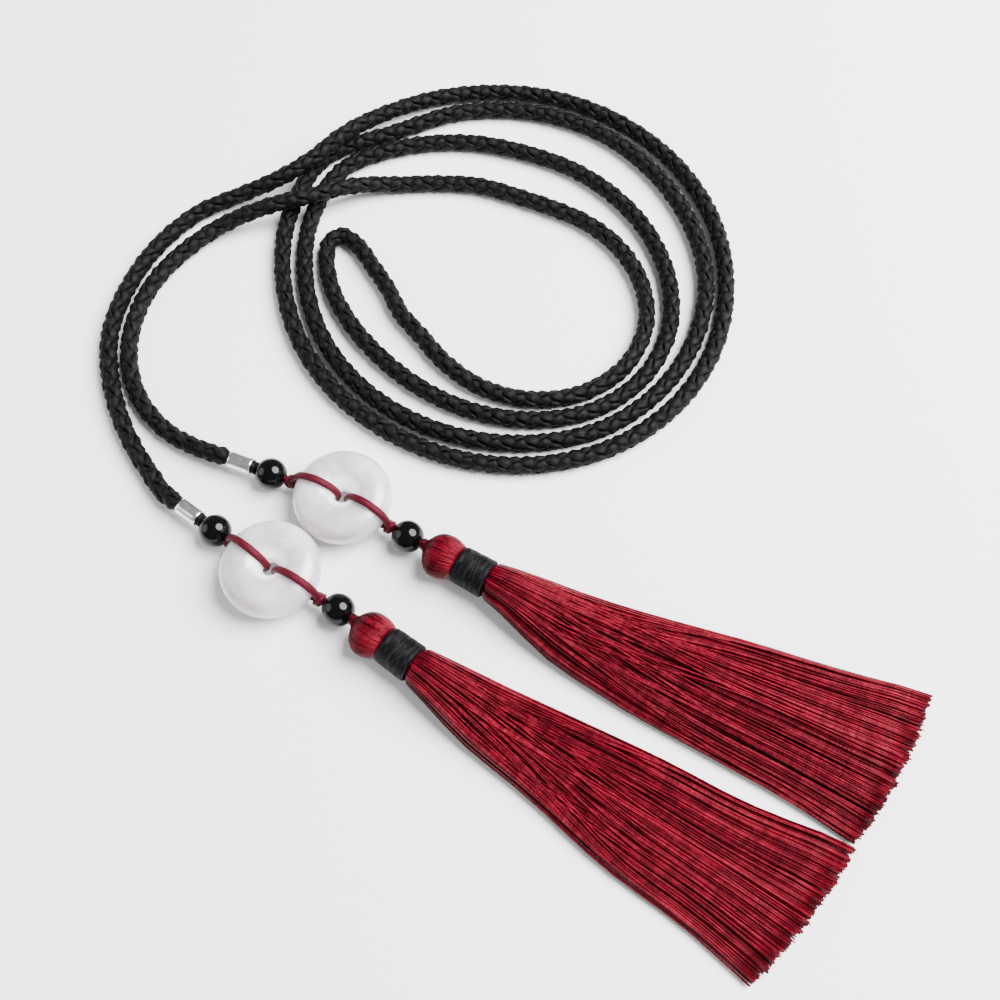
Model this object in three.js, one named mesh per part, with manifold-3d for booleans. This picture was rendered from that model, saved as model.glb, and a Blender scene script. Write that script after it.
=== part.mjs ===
// Rope belt, lying in a loose coil: black braid, and at each end a ferrule, beads, a ring and a tassel.
// Millimetres, +Z up. The floor is z = 0 and the origin is under the middle of the belt.
import * as THREE from "three";
import { mergeVertices } from "three/addons/utils/BufferGeometryUtils.js";
import Module from "manifold-3d";

const wasm = await Module();
wasm.setup();

// Driving sizes
const GAP = 0.3; // clearance between pieces
const ROPE_DIAMETER = 4.6;
const ROPE_SIDES = 8;
const FLOOR_Z = 2.5; // the rope's centre where it lies on the floor
const AXIS_Z = 4.0; // height of the centre line of the fittings on the rope's side
const FERRULE_DIAMETER = 4.3;
const FERRULE_LENGTH = 4.9;
const SQUARE_END = 1.8; // the rope leaves each ferrule straight for this length
const COLLAR_DIAMETER = 3.3;
const COLLAR_LENGTH = 1.1;
const BEAD_DIAMETER = 8.0;
const STEM_DIAMETER = 1.6; // red cord inside the beads
const BORE_DIAMETER = STEM_DIAMETER + 2 * GAP;
const RING_DIAMETER = 24.4;
const RING_HOLE = 3.8;
const RING_HEIGHT = 8.7;
const LOOP_WIDTH = 1.7; // red cord round the ring
const LOOP_THICKNESS = 1.4;
const KNOT_DIAMETER = 3.2;
const HEAD_DIAMETER = 11.0;
const HEAD_LENGTH = 9.9;
const HEAD_Z = HEAD_DIAMETER / 2 + 0.05;
const HEAD_BULGE = 0.5; // how far the head's middle leans to the right of its axis
const BAND_DIAMETER = 9.6;
const BAND_LENGTH = 8.5;
const BAND_WALL = 0.9;
const LOCKS = 8;

// The coil's centre on the floor
const COIL = { x: 3.3, y: 53.4 };

// Distance of each strand from the coil's centre, by the angle from +X, outermost first
const STRANDS = [
  { angle: 0, outer: 61.4, second: 55.9, third: 45.8, inner: 38.0 },
  { angle: 30, outer: 63.5, second: 56.6, third: 43.4, inner: 32.3 },
  { angle: 60, outer: 65.5, second: 58.9, third: 43.3, inner: 28.4 },
  { angle: 90, outer: 67.0, second: 60.2, third: 46.0, inner: 30.1 },
  { angle: 120, outer: 66.7, second: 59.9, third: 53.6, inner: 38.2 },
  { angle: 150, outer: 64.3, second: 57.7, third: 51.0, inner: 38.0 },
  { angle: 180, outer: 58.9, second: 52.8, third: 46.3, inner: 33.1 },
  { angle: 210, outer: 55.6, second: 49.8, third: 40.4, inner: 27.5 },
  { angle: 240, outer: 54.5, second: 48.7, third: 39.5, inner: 29.6 },
  { angle: 270, outer: 55.9, second: 49.6, third: 42.3, inner: 35.5 },
  { angle: 300, outer: 58.4, second: 52.6, third: 46.8, inner: 41.0 },
  { angle: 330, outer: 60.2, second: 54.4, third: 48.3, inner: 42.4 },
];
const STEP = 20; // degrees between the coil's sections

// The first tail, from the lower ferrule to the top of the coil's two outer strands
const FIRST_TAIL = [
  { x: -79.2, y: -11.4, z: 3.2 },
  { x: -84.8, y: -4.4, z: 2.5 },
  { x: -93.0, y: 8.8, z: 2.5 },
  { x: -98.0, y: 21.8, z: 2.5 },
  { x: -100.2, y: 36.0, z: 2.5 },
  { x: -97.6, y: 50.6, z: 2.5 },
  { x: -90.4, y: 65.6, z: 2.5 },
  { x: -80.2, y: 76.6, z: 2.6 },
  { x: -68.6, y: 81.6, z: 4.0 },
  { x: -59.4, y: 84.6, z: 6.2 },
  { x: -49.6, y: 90.8, z: 7.6 },
  { x: -41.5, y: 99.8, z: 7.3 },
  { x: -34.0, y: 107.2, z: 5.4 },
];

// The second tail, from the top of the coil's innermost strand to the upper ferrule
const SECOND_TAIL = [
  { x: -24.0, y: 86.1, z: 2.6 },
  { x: -34.2, y: 84.4, z: 4.4 },
  { x: -42.0, y: 81.0, z: 6.8 },
  { x: -49.6, y: 77.6, z: 7.7 },
  { x: -58.4, y: 75.2, z: 7.5 },
  { x: -66.6, y: 73.0, z: 5.9 },
  { x: -74.6, y: 70.2, z: 3.6 },
  { x: -82.2, y: 64.4, z: 2.5 },
  { x: -90.2, y: 53.4, z: 2.5 },
  { x: -94.1, y: 41.4, z: 2.5 },
  { x: -94.3, y: 29.6, z: 2.5 },
  { x: -90.4, y: 17.6, z: 2.5 },
  { x: -82.0, y: 7.4, z: 2.5 },
  { x: -71.4, y: 1.2, z: 3.3 },
];

// The turn where the third strand doubles back to become the innermost
const BIGHT = [
  { x: -44.2, y: 60.6, z: 2.5 },
  { x: -43.6, y: 66.2, z: 2.5 },
  { x: -40.4, y: 68.4, z: 2.5 },
  { x: -36.9, y: 66.0, z: 2.5 },
  { x: -31.6, y: 58.2, z: 2.5 },
  { x: -26.4, y: 49.4, z: 2.5 },
];

// Each end from its ring outwards: which way the beads lie from the ring's centre, the lengths of the
// knots between ring and beads, the headings of the tassel and of its fringe, and the fringe's cut: its
// length in the middle, how much longer it is at the left edge, and how far both edges fall short
const ENDS = [
  {
    number: 1,
    rope_side: 143.9,
    rope_knot: 1.5,
    tassel_side: -30.6,
    tassel_knot: 2.4,
    tassel_heading: -36.4,
    fringe_heading: -32.4,
    fringe_length: 100.3,
    fringe_slant: 2.9,
    fringe_bow: 1.0,
  },
  {
    number: 2,
    rope_side: 158.5,
    rope_knot: 3.1,
    tassel_side: -31.5,
    tassel_knot: 2.1,
    tassel_heading: -30.5,
    fringe_heading: -25.2,
    fringe_length: 101.6,
    fringe_slant: 2.2,
    fringe_bow: 1.6,
  },
];

// The first ring's centre, and the second ring lying against it
const FIRST_RING = { x: -51.3, y: -31.9 };
const SECOND_RING_SIDE = 49.5;

// Each fringe's half widths to the left and right of its line, and its height, by the distance from the band
const FRINGES = [
  [
    { at: 0.4, left: 3.1, right: 3.1, height: 6.0 },
    { at: 4, left: 4.9, right: 5.4, height: 8.2 },
    { at: 18, left: 6.1, right: 8.6, height: 6.6 },
    { at: 36, left: 8.6, right: 10.5, height: 5.0 },
    { at: 58, left: 11.8, right: 13.8, height: 4.0 },
    { at: 80, left: 13.7, right: 15.3, height: 3.4 },
    { at: 100, left: 17.6, right: 18.7, height: 3.0 },
  ],
  [
    { at: 0.4, left: 3.1, right: 3.1, height: 6.0 },
    { at: 4, left: 5.0, right: 5.6, height: 8.2 },
    { at: 18, left: 6.0, right: 10.2, height: 6.6 },
    { at: 36, left: 8.6, right: 13.1, height: 5.0 },
    { at: 58, left: 12.5, right: 14.9, height: 4.0 },
    { at: 80, left: 15.2, right: 16.4, height: 3.4 },
    { at: 101, left: 18.9, right: 19.4, height: 3.0 },
  ],
];

// Materials
const material = (name, color, roughness, metalness = 0) => {
  const made = new THREE.MeshStandardMaterial({ color, roughness, metalness });
  made.name = name;
  return made;
};
const braid = () => material("black_braid", 0x17171a, 0.7);
const silver = () => material("silver", 0xc8c8cc, 0.25, 1);
const black = () => material("black_trim", 0x121214, 0.5);
const onyx = () => material("black_bead", 0x08080a, 0.08);
const stone = () => material("milky_stone", 0xe6e2ea, 0.25);
const satin = () => material("red_cord", 0x8a2238, 0.55);
const silk = () => material("red_silk", 0xa01c30, 0.6);
const wrap = () => material("black_satin", 0x141418, 0.45);

// Plain helpers
const radians = (degrees) => (degrees * Math.PI) / 180;
const vector = (p) => new THREE.Vector3(p.x, p.y, p.z);
const heading = (degrees) =>
  new THREE.Vector3(Math.cos(radians(degrees)), Math.sin(radians(degrees)), 0);
const ahead = (from, direction, distance) =>
  from.clone().addScaledVector(direction, distance);

// A strand's distance from the coil's centre, smooth all the way round
function reach(strand, angle) {
  const turned = ((angle % 360) + 360) % 360;
  const pitch = 360 / STRANDS.length;
  const i = Math.floor(turned / pitch);
  const t = turned / pitch - i;
  const at = (k) => STRANDS[(i + k + STRANDS.length) % STRANDS.length][strand];
  const [a, b, c, d] = [at(-1), at(0), at(1), at(2)];
  return (
    b +
    0.5 *
      t *
      (c - a + t * (2 * a - 5 * b + 4 * c - d + t * (3 * (b - c) + d - a)))
  );
}

function strandPoint(strand, angle) {
  const far = reach(strand, angle);
  return new THREE.Vector3(
    COIL.x + far * Math.cos(radians(angle)),
    COIL.y + far * Math.sin(radians(angle)),
    FLOOR_Z,
  );
}

// A geometry drawn along +Z, turned to run from one point towards another
function along(geometry, from, to) {
  const turn = new THREE.Quaternion().setFromUnitVectors(
    new THREE.Vector3(0, 0, 1),
    to.clone().sub(from).normalize(),
  );
  return geometry.applyQuaternion(turn).translate(from.x, from.y, from.z);
}

// A turned body from its closed outline of radius and height
function turned(outline, sides) {
  const points = outline.map(([r, z]) => new THREE.Vector2(r, z));
  points.push(points[0].clone());
  const made = new THREE.LatheGeometry(points, sides);
  return made.rotateX(Math.PI / 2);
}

// A body through sections of an even number of sides, each flat underneath
function swept(stations, sides, closed) {
  const positions = [];
  const ring = (s, k) => {
    const a = (2 * Math.PI * (k + 0.5)) / sides;
    const grow = 1 / Math.cos(Math.PI / sides);
    return s.centre
      .clone()
      .addScaledVector(s.across, (s.width / 2) * grow * Math.cos(a))
      .addScaledVector(s.up, (s.height / 2) * grow * Math.sin(a));
  };
  const put = (...corners) => corners.forEach((c) => positions.push(c.x, c.y, c.z));
  const spans = closed ? stations.length : stations.length - 1;
  for (let i = 0; i < spans; i += 1) {
    const [one, two] = [stations[i], stations[(i + 1) % stations.length]];
    for (let k = 0; k < sides; k += 1) {
      const [a, b, c, d] = [ring(one, k), ring(one, k + 1), ring(two, k + 1), ring(two, k)];
      put(a, b, c);
      put(a, c, d);
    }
  }
  if (!closed) {
    const [first, last] = [stations[0], stations[stations.length - 1]];
    for (let k = 1; k < sides - 1; k += 1) {
      put(ring(first, 0), ring(first, k + 1), ring(first, k));
      put(ring(last, 0), ring(last, k), ring(last, k + 1));
    }
  }
  const made = new THREE.BufferGeometry();
  made.setAttribute("position", new THREE.Float32BufferAttribute(positions, 3));
  return made;
}

// Solids for joining and cutting
function solid(geometry) {
  const bare = geometry.clone();
  bare.deleteAttribute("normal");
  bare.deleteAttribute("uv");
  const merged = mergeVertices(bare, 1e-3);
  const made = new wasm.Manifold(
    new wasm.Mesh({
      numProp: 3,
      vertProperties: merged.attributes.position.array,
      triVerts: new Uint32Array(merged.index.array),
    }),
  );
  if (made.volume() >= 0) return made;
  const flipped = new Uint32Array(merged.index.array);
  for (let i = 0; i < flipped.length; i += 3)
    [flipped[i + 1], flipped[i + 2]] = [flipped[i + 2], flipped[i + 1]];
  return new wasm.Manifold(
    new wasm.Mesh({
      numProp: 3,
      vertProperties: merged.attributes.position.array,
      triVerts: flipped,
    }),
  );
}

function geometryOf(body) {
  const mesh = body.getMesh();
  const made = new THREE.BufferGeometry();
  made.setAttribute(
    "position",
    new THREE.Float32BufferAttribute(mesh.vertProperties, 3),
  );
  made.setIndex(new THREE.Uint32BufferAttribute(mesh.triVerts, 1));
  return made;
}

const belt = new THREE.Group();
belt.name = "rope_belt";

function add(name, body, look) {
  const geometry = geometryOf(body);
  geometry.computeVertexNormals();
  const mesh = new THREE.Mesh(geometry, look);
  mesh.name = name;
  belt.add(mesh);
}

// A curve whose sections sit exactly on its points
class Laid extends THREE.CatmullRomCurve3 {
  getPointAt(u, target) {
    return this.getPoint(u, target);
  }
  getTangentAt(u, target) {
    return this.getTangent(u, target);
  }
}

// The frame of one end: its points and directions from the table
function layout(end) {
  const ring = new THREE.Vector3(FIRST_RING.x, FIRST_RING.y, 0);
  if (end.number === 2)
    ring.addScaledVector(heading(SECOND_RING_SIDE), RING_DIAMETER + GAP + 0.1);
  const bead = BEAD_DIAMETER / 2;
  const beadFar = (knot) => RING_DIAMETER / 2 + GAP + knot + GAP + bead;
  const back = heading(end.rope_side);
  const ropeWay = back.clone().negate();
  const ropeBead = ahead(ring, back, beadFar(end.rope_knot));
  ropeBead.z = AXIS_Z;
  const out = heading(end.tassel_side);
  const tasselBead = ahead(ring, out, beadFar(end.tassel_knot));
  const collarFar = ahead(ropeBead, ropeWay, -(bead + GAP));
  const collarNear = ahead(collarFar, ropeWay, -COLLAR_LENGTH);
  const ferruleFar = ahead(collarNear, ropeWay, -GAP);
  const mouth = ahead(ferruleFar, ropeWay, -FERRULE_LENGTH);
  const tasselWay = heading(end.tassel_heading);
  const headStart = ahead(tasselBead, tasselWay, bead + GAP + 0.1);
  headStart.z = HEAD_Z;
  const bandStart = ahead(headStart, tasselWay, HEAD_LENGTH);
  const bandEnd = ahead(bandStart, tasselWay, BAND_LENGTH);
  return {
    ring,
    back,
    ropeWay,
    ropeBead,
    out,
    tasselBead,
    collarFar,
    collarNear,
    ferruleFar,
    mouth,
    tasselWay,
    headStart,
    bandStart,
    bandEnd,
  };
}
const LAYOUTS = ENDS.map(layout);

// Rope
function ropeRoute() {
  const [first, second] = LAYOUTS;
  const ends = [first, second].map(({ mouth, ropeWay }) => [
    ahead(mouth, ropeWay, -GAP),
    ahead(mouth, ropeWay, -GAP - SQUARE_END),
  ]);
  const points = [...ends[0], ...FIRST_TAIL.map(vector)];
  // Two whole turns and a part turn, each one strand further in
  const passes = [
    { strand: "outer", from: 100, to: -200 },
    { strand: "second", from: 120, to: -200 },
    { strand: "third", from: 120, to: -180 },
  ];
  passes.forEach(({ strand, from, to }, i) => {
    for (let a = from; a >= to; a -= STEP) points.push(strandPoint(strand, a));
    if (i < 2) points.push(strandPoint(strand, to - STEP));
  });
  points.push(...BIGHT.map(vector));
  for (let a = 200; a <= 480; a += STEP) points.push(strandPoint("inner", a));
  points.push(...SECOND_TAIL.map(vector));
  points.push(...ends[1].reverse());
  return points;
}

function roundShape(diameter, sides) {
  const corners = [];
  for (let k = 0; k < sides; k += 1) {
    const a = (2 * Math.PI * k) / sides;
    corners.push(
      new THREE.Vector2((diameter / 2) * Math.cos(a), (diameter / 2) * Math.sin(a)),
    );
  }
  return new THREE.Shape(corners);
}

export const route = ropeRoute();
const rope = new THREE.ExtrudeGeometry(roundShape(ROPE_DIAMETER, ROPE_SIDES), {
  steps: route.length - 1,
  bevelEnabled: false,
  curveSegments: 1,
  extrudePath: new Laid(route, false, "centripetal"),
});
add("rope", solid(rope), braid());

// Fittings with a bore along their axis
function sleeve(outline, bore, sides) {
  return turned([[bore / 2, outline[0][1]], ...outline, [bore / 2, outline[outline.length - 1][1]]], sides);
}

function bead(bore, sides, rows) {
  const r = BEAD_DIAMETER / 2;
  const low = Math.asin(bore / 2 / r);
  const outline = [];
  for (let k = 0; k <= rows; k += 1) {
    const a = low + ((Math.PI - 2 * low) * k) / rows;
    outline.push([r * Math.sin(a), -r * Math.cos(a)]);
  }
  return turned(outline, sides);
}

// The ring's section is an ellipse
const RING_TUBE = (RING_DIAMETER - RING_HOLE) / 4; // half its width
const RING_MIDDLE = (RING_DIAMETER + RING_HOLE) / 4; // radius of its centre line
const LOOP_OFF = GAP + LOOP_THICKNESS / 2; // from the ring's skin to the loop's centre
const RING_Z = LOOP_THICKNESS / 2 + LOOP_OFF + RING_HEIGHT / 2;

function ringBody() {
  const outline = [];
  for (let k = 0; k < 12; k += 1) {
    const a = (2 * Math.PI * k) / 12;
    outline.push([
      RING_MIDDLE + RING_TUBE * Math.cos(a),
      (RING_HEIGHT / 2) * Math.sin(a),
    ]);
  }
  return turned(outline, 28);
}

// A straight red stem through the given points
function stem(points) {
  const stations = points.map((centre, i) => {
    const way = points[Math.min(i + 1, points.length - 1)]
      .clone()
      .sub(points[Math.max(i - 1, 0)])
      .normalize();
    const across = new THREE.Vector3(-way.y, way.x, 0).normalize();
    const up = way.clone().cross(across);
    return { centre, across, up, width: STEM_DIAMETER * 0.92, height: STEM_DIAMETER * 0.92 };
  });
  return swept(stations, 8, false);
}

// The loop over the ring, through its hole and back under it, closed at the knot
function loop(ring, outwards, knotLength) {
  const across = new THREE.Vector3(-outwards.y, outwards.x, 0);
  const [wide, tall] = [RING_TUBE + LOOP_OFF, RING_HEIGHT / 2 + LOOP_OFF];
  const course = [[knotFar(knotLength), AXIS_Z]];
  for (let a = 15; a <= 330; a += 22.5)
    course.push([
      RING_MIDDLE + wide * Math.cos(radians(a)),
      RING_Z + tall * Math.sin(radians(a)),
    ]);
  const centres = course.map(([far, z]) => {
    const c = ahead(ring, outwards, far);
    c.z = z;
    return c;
  });
  const count = centres.length;
  const stations = centres.map((centre, i) => {
    const way = centres[(i + 1) % count]
      .clone()
      .sub(centres[(i + count - 1) % count])
      .normalize();
    const up = way.clone().cross(across).normalize();
    return { centre, across, up, width: LOOP_WIDTH * 0.94, height: LOOP_THICKNESS * 0.94 };
  });
  return swept(stations, 8, true);
}

const knotFar = (length) => RING_DIAMETER / 2 + GAP + length / 2;

function knot(centre, way, length) {
  const [r, h] = [KNOT_DIAMETER / 2, length / 2];
  const barrel = turned(
    [
      [0, -h],
      [r * 0.8, -h],
      [r, -h * 0.45],
      [r, h * 0.45],
      [r * 0.8, h],
      [0, h],
    ],
    12,
  );
  return along(barrel, centre, ahead(centre, way, 1));
}

// Tassel head, widest near its middle, drilled for the stem
function headBody(way, start) {
  const r = HEAD_DIAMETER / 2;
  const outline = [
    { at: 0, share: 0 },
    { at: 0, share: 0.42 },
    { at: 0.1, share: 0.66 },
    { at: 0.28, share: 0.91 },
    { at: 0.5, share: 1 },
    { at: 0.74, share: 0.96 },
    { at: 0.9, share: 0.83 },
    { at: 1, share: 0.72 },
    { at: 1, share: 0 },
  ].map(({ at, share }) => [share * r, at * HEAD_LENGTH]);
  const body = along(turned(outline, 20), start, ahead(start, way, 1));
  const right = new THREE.Vector3(way.y, -way.x, 0);
  const places = body.attributes.position;
  for (let i = 0; i < places.count; i += 1) {
    const p = new THREE.Vector3().fromBufferAttribute(places, i);
    const share = THREE.MathUtils.clamp(p.clone().sub(start).dot(way) / HEAD_LENGTH, 0, 1);
    p.addScaledVector(right, HEAD_BULGE * Math.sin(Math.PI * share));
    places.setXYZ(i, p.x, p.y, p.z);
  }
  return body;
}

function fringe(end, from) {
  const table = FRINGES[end.number - 1];
  const way = heading(end.fringe_heading);
  const left = new THREE.Vector3(-way.y, way.x, 0);
  const parts = [];
  for (let j = 0; j < LOCKS; j += 1) {
    const share = (j + 0.5) / LOCKS; // 0 at the right edge, 1 at the left
    const side = 2 * share - 1;
    const cut =
      end.fringe_length + end.fringe_slant * side - end.fringe_bow * side * side + (j % 2 ? 0.5 : -0.4);
    const rows = [{ ...table[0], at: -1.2 }, ...table];
    const stations = rows.map((row, i) => {
      const at = i === rows.length - 1 ? cut : row.at;
      const wide = (row.left + row.right) / LOCKS;
      const lie = -row.right + wide * (j + 0.5);
      const round = Math.sqrt(1 - (i < 4 ? 0.75 : 0.45) * side * side);
      const height = row.height * round;
      const centre = ahead(ahead(from, way, at), left, lie);
      const sink = THREE.MathUtils.smoothstep(at, 2, 24);
      const middle = THREE.MathUtils.lerp(HEAD_Z, row.height / 2, sink);
      centre.z = THREE.MathUtils.lerp(middle, height / 2, sink);
      return {
        centre,
        across: left,
        up: new THREE.Vector3(0, 0, 1),
        width: wide * (i < 2 ? 1.04 : 1.16),
        height,
      };
    });
    parts.push(solid(swept(stations, 8, false)));
  }
  return parts;
}

ENDS.forEach((end, i) => {
  const at = LAYOUTS[i];
  const n = end.number;

  add(
    `ferrule_${n}`,
    solid(
      along(
        sleeve(
          [
            [FERRULE_DIAMETER / 2 - 0.25, 0],
            [FERRULE_DIAMETER / 2, 0.25],
            [FERRULE_DIAMETER / 2, FERRULE_LENGTH - 0.25],
            [FERRULE_DIAMETER / 2 - 0.25, FERRULE_LENGTH],
          ],
          BORE_DIAMETER,
          16,
        ),
        at.mouth,
        at.ferruleFar,
      ),
    ),
    silver(),
  );
  add(
    `collar_${n}`,
    solid(
      along(
        sleeve(
          [
            [COLLAR_DIAMETER / 2, 0],
            [COLLAR_DIAMETER / 2, COLLAR_LENGTH],
          ],
          BORE_DIAMETER,
          16,
        ),
        at.collarNear,
        at.collarFar,
      ),
    ),
    black(),
  );
  add(
    `bead_rope_${n}`,
    solid(along(bead(BORE_DIAMETER, 16, 9), at.ropeBead, at.collarFar)),
    onyx(),
  );

  add(`ring_${n}`, solid(ringBody().translate(at.ring.x, at.ring.y, RING_Z)), stone());

  // Rope side: loop, knot, and a stem through bead and collar into the ferrule
  const ropeKnot = ahead(at.ring, at.back, knotFar(end.rope_knot));
  ropeKnot.z = AXIS_Z;
  const inFerrule = ahead(at.ferruleFar, at.back, FERRULE_LENGTH * 0.6);
  const ropeCord = solid(loop(at.ring, at.back, end.rope_knot))
    .add(solid(knot(ropeKnot, at.back, end.rope_knot)))
    .add(solid(stem([ropeKnot, at.ropeBead, inFerrule])));
  add(`cord_rope_${n}`, ropeCord, satin());

  // Tassel side: loop, knot, and a stem through the bead into the head
  const tasselKnot = ahead(at.ring, at.out, knotFar(end.tassel_knot));
  tasselKnot.z = AXIS_Z;
  const inHead = ahead(at.headStart, at.tasselWay, HEAD_LENGTH * 0.35);
  const run = inHead.clone().sub(tasselKnot);
  const reached = knotFar(end.tassel_knot);
  const beadCentre = at.tasselBead.clone();
  beadCentre.z = THREE.MathUtils.lerp(
    AXIS_Z,
    inHead.z,
    (at.tasselBead.distanceTo(at.ring) - reached) / Math.hypot(run.x, run.y),
  );
  const [beadIn, beadOut] = [-1, 1].map((side) =>
    ahead(beadCentre, run.clone().normalize(), (side * BEAD_DIAMETER) / 2),
  );
  const tasselCord = solid(loop(at.ring, at.out, end.tassel_knot))
    .add(solid(knot(tasselKnot, at.out, end.tassel_knot)))
    .add(solid(stem([tasselKnot, beadIn, beadOut, inHead])));
  add(`cord_tassel_${n}`, tasselCord, satin());
  add(
    `bead_tassel_${n}`,
    solid(along(bead(BORE_DIAMETER, 16, 9), beadCentre, beadCentre.clone().add(run))),
    onyx(),
  );

  // Tassel: head, core under the band and locks, joined; then drilled
  const core = BAND_DIAMETER / 2 - BAND_WALL - GAP;
  const coreBody = along(
    turned(
      [
        [0, -0.5],
        [core, -0.5],
        [core, BAND_LENGTH + GAP],
        [0, BAND_LENGTH + GAP],
      ],
      20,
    ),
    at.bandStart,
    at.bandEnd,
  );
  const inWay = inHead.clone().sub(beadOut).normalize();
  const drill = along(
    new THREE.CylinderGeometry(BORE_DIAMETER / 2 + 0.1, BORE_DIAMETER / 2 + 0.1, 12, 16)
      .rotateX(Math.PI / 2)
      .translate(0, 0, 0),
    ahead(inHead, inWay, 0.4 - 6),
    ahead(inHead, inWay, 1),
  );
  let tassel = solid(headBody(at.tasselWay, at.headStart)).add(solid(coreBody));
  for (const lock of fringe(end, at.bandEnd)) tassel = tassel.add(lock);
  add(`tassel_${n}`, tassel.subtract(solid(drill)), silk());

  const [outer, wall] = [BAND_DIAMETER / 2, BAND_WALL];
  add(
    `band_${n}`,
    solid(
      along(
        sleeve(
          [
            [outer - 0.25, GAP],
            [outer, GAP + 1.2],
            [outer, BAND_LENGTH - 1.2],
            [outer - 0.25, BAND_LENGTH],
          ],
          2 * (outer - wall),
          20,
        ),
        at.bandStart,
        at.bandEnd,
      ),
    ),
    wrap(),
  );
});

export default belt;
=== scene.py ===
"""Rope belt with stone rings and silk tassels, lying in a loose coil.

Sizes are in millimetres until a mesh is made.
"""

import math
import random

import bpy
import numpy as np
from bpy.props import FloatProperty, FloatVectorProperty, IntProperty, PointerProperty
from bpy.types import Operator, Panel, PropertyGroup
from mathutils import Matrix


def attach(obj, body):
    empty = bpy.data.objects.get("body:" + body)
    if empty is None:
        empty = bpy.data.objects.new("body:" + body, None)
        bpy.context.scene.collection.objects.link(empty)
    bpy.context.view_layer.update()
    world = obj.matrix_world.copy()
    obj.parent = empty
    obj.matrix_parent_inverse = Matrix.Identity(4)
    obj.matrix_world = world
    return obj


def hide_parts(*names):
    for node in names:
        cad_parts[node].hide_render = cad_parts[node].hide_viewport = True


bl_info = {
    "name": "Rope belt",
    "version": (1, 0, 0),
    "blender": (4, 5, 0),
    "location": "3D View > Sidebar > Rope belt",
    "description": "A braided rope belt with stone rings, beads and silk tassels",
    "category": "Add Mesh",
}

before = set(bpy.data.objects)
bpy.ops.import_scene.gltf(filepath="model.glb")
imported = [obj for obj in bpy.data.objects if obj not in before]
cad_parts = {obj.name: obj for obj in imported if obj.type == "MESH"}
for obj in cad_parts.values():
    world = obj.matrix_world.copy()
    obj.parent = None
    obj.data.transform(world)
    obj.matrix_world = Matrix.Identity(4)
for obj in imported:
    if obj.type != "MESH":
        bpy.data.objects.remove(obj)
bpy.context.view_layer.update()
BODY = "root"
MM = 0.001

# Fittings
GAP = 0.3
FLOOR_Z = 2.5
AXIS_Z = 4.0
FERRULE_DIAMETER = 4.3
FERRULE_LENGTH = 4.9
SQUARE_END = 1.8
COLLAR_DIAMETER = 3.3
COLLAR_LENGTH = 1.1
BEAD_DIAMETER = 8.0
STEM_HALF = 0.8
RING_DIAMETER = 24.4
RING_HOLE = 3.8
RING_HEIGHT = 8.7
RING_TUBE = (RING_DIAMETER - RING_HOLE) / 4
RING_MIDDLE = (RING_DIAMETER + RING_HOLE) / 4
LOOP_THICKNESS = 1.4
RING_Z = LOOP_THICKNESS + GAP + RING_HEIGHT / 2
HEAD_DIAMETER = 11.0
HEAD_LENGTH = 9.9
HEAD_Z = HEAD_DIAMETER / 2 + 0.05
HEAD_BULGE = 0.5
BAND_DIAMETER = 9.6
BAND_LENGTH = 8.5

# The head's outline: share of its length, share of its radius
HEAD_SHAPE = (
    (0, 0.2),
    (0.06, 0.25),
    (0.12, 0.36),
    (0.2, 0.6),
    (0.32, 0.85),
    (0.46, 0.98),
    (0.6, 1.01),
    (0.76, 0.98),
    (0.9, 0.88),
    (1.0, 0.78),
)

# Stage: the camera in millimetres and degrees, and each lamp's place and width in metres and its watts
CAMERA_PLACE = (3.3, -130.5, 262)
CAMERA_TILT = 24.5
CAMERA_LENS = 41.4
FLOOR_REACH = 3.0
WORLD_STRENGTH = 0.36
LAMPS = (
    ("key", (0.66, 0.16, 0.86), 1.0, 74.0),
    ("fill", (-0.95, 0.03, 0.46), 0.8, 6.0),
)

# The coil's centre, and each strand's distance from it every 30 degrees from +X
COIL = (3.3, 53.4)
STRANDS = {
    "outer": (61.4, 63.5, 65.5, 67.0, 66.7, 64.3, 58.9, 55.6, 54.5, 55.9, 58.4, 60.2),
    "second": (55.9, 56.6, 58.9, 60.2, 59.9, 57.7, 52.8, 49.8, 48.7, 49.6, 52.6, 54.4),
    "third": (45.8, 43.4, 43.3, 46.0, 53.6, 51.0, 46.3, 40.4, 39.5, 42.3, 46.8, 48.3),
    "inner": (38.0, 32.3, 28.4, 30.1, 38.2, 38.0, 33.1, 27.5, 29.6, 35.5, 41.0, 42.4),
}
STEP = 20

# The tails and the turn between the third strand and the innermost, as they lie
FIRST_TAIL = (
    (-79.2, -11.4, 3.2),
    (-84.8, -4.4, 2.5),
    (-93.0, 8.8, 2.5),
    (-98.0, 21.8, 2.5),
    (-100.2, 36.0, 2.5),
    (-97.6, 50.6, 2.5),
    (-90.4, 65.6, 2.5),
    (-80.2, 76.6, 2.6),
    (-68.6, 81.6, 4.0),
    (-59.4, 84.6, 6.2),
    (-49.6, 90.8, 7.6),
    (-41.5, 99.8, 7.3),
    (-34.0, 107.2, 5.4),
)
SECOND_TAIL = (
    (-24.0, 86.1, 2.6),
    (-34.2, 84.4, 4.4),
    (-42.0, 81.0, 6.8),
    (-49.6, 77.6, 7.7),
    (-58.4, 75.2, 7.5),
    (-66.6, 73.0, 5.9),
    (-74.6, 70.2, 3.6),
    (-82.2, 64.4, 2.5),
    (-90.2, 53.4, 2.5),
    (-94.1, 41.4, 2.5),
    (-94.3, 29.6, 2.5),
    (-90.4, 17.6, 2.5),
    (-82.0, 7.4, 2.5),
    (-71.4, 1.2, 3.3),
)
BIGHT = (
    (-44.2, 60.6, 2.5),
    (-43.6, 66.2, 2.5),
    (-40.4, 68.4, 2.5),
    (-36.9, 66.0, 2.5),
    (-31.6, 58.2, 2.5),
    (-26.4, 49.4, 2.5),
)

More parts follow.
